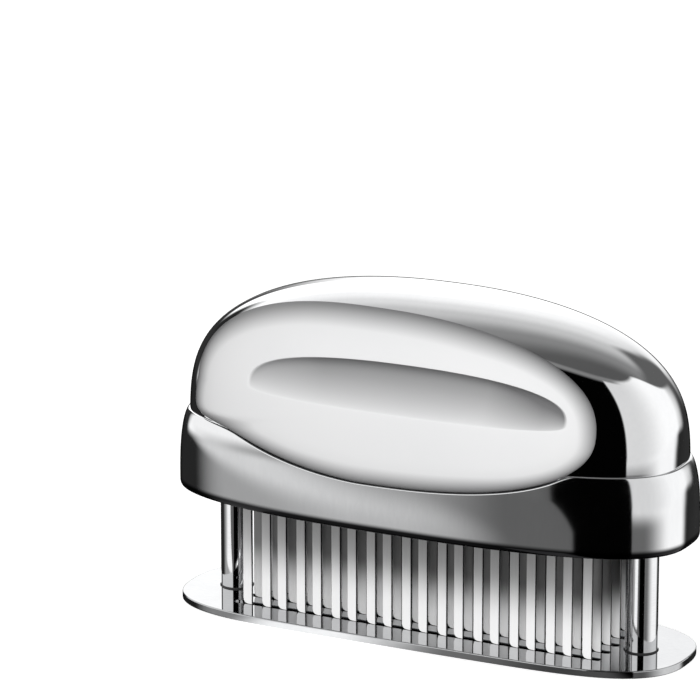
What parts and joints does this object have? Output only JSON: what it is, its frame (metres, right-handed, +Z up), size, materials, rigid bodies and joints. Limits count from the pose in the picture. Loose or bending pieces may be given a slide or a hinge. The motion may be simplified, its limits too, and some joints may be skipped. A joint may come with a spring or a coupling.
{
  "type": "blade meat tenderizer",
  "caption": "Hand-press blade meat tenderizer: a domed chrome grip with finger grooves drives rows of thin steel blades down through a slotted guard plate on two sprung guide posts",
  "frame": {"origin": "centre of the guard plate's underside, where the tool stands", "axes": "+X along the length, +Y from front to back, +Z up, out of the palm side of the grip"},
  "size_m": [0.1505, 0.0596, 0.0958],
  "materials": {
    "chrome_shell": "mirror polished",
    "polished_plate": "mirror polished stainless steel",
    "polished_post": "polished",
    "blade_steel": "ground stainless steel",
    "inner_steel": "brushed",
    "cover_steel": "brushed",
    "screw_steel": "machined",
    "spring_steel": "drawn wire",
    "carrier_plastic": "moulded",
    "bush_plastic": "moulded acetal",
    "seal_rubber": "satin"
  },
  "bodies": {
    "guard": {"guard_plate": "polished_plate", "guide_post_left": "polished_post", "guide_post_right": "polished_post", "post_seal_ring_left": "seal_rubber", "post_seal_ring_right": "seal_rubber", "post_screws": "screw_steel", "retaining_rings": "spring_steel", "return_spring_left": "spring_steel", "return_spring_right": "spring_steel"},
    "handle": {"upper_shell": "chrome_shell", "skirt_shell": "chrome_shell", "blade_carrier": "carrier_plastic", "blade_clamp_plate": "inner_steel", "blade_row_1": "blade_steel", "blade_row_2": "blade_steel", "blade_row_3": "blade_steel", "blade_row_4": "blade_steel", "blade_row_5": "blade_steel", "bottom_cover": "cover_steel", "guide_bush_left": "bush_plastic", "guide_bush_right": "bush_plastic", "carrier_screws": "screw_steel", "clamp_screws": "screw_steel", "cover_screws": "screw_steel", "spring_cup_left": "bush_plastic", "spring_cup_right": "bush_plastic"}
  },
  "joints": [
    {"name": "handle_press", "type": "slide", "parent": "guard", "child": "handle", "axis": [0, 0, 1], "range_m": [-0.029, 0], "stiffness_N_per_m": 600, "springref_m": 0.02, "deforming": ["return_spring_left", "return_spring_right"]}
  ]
}
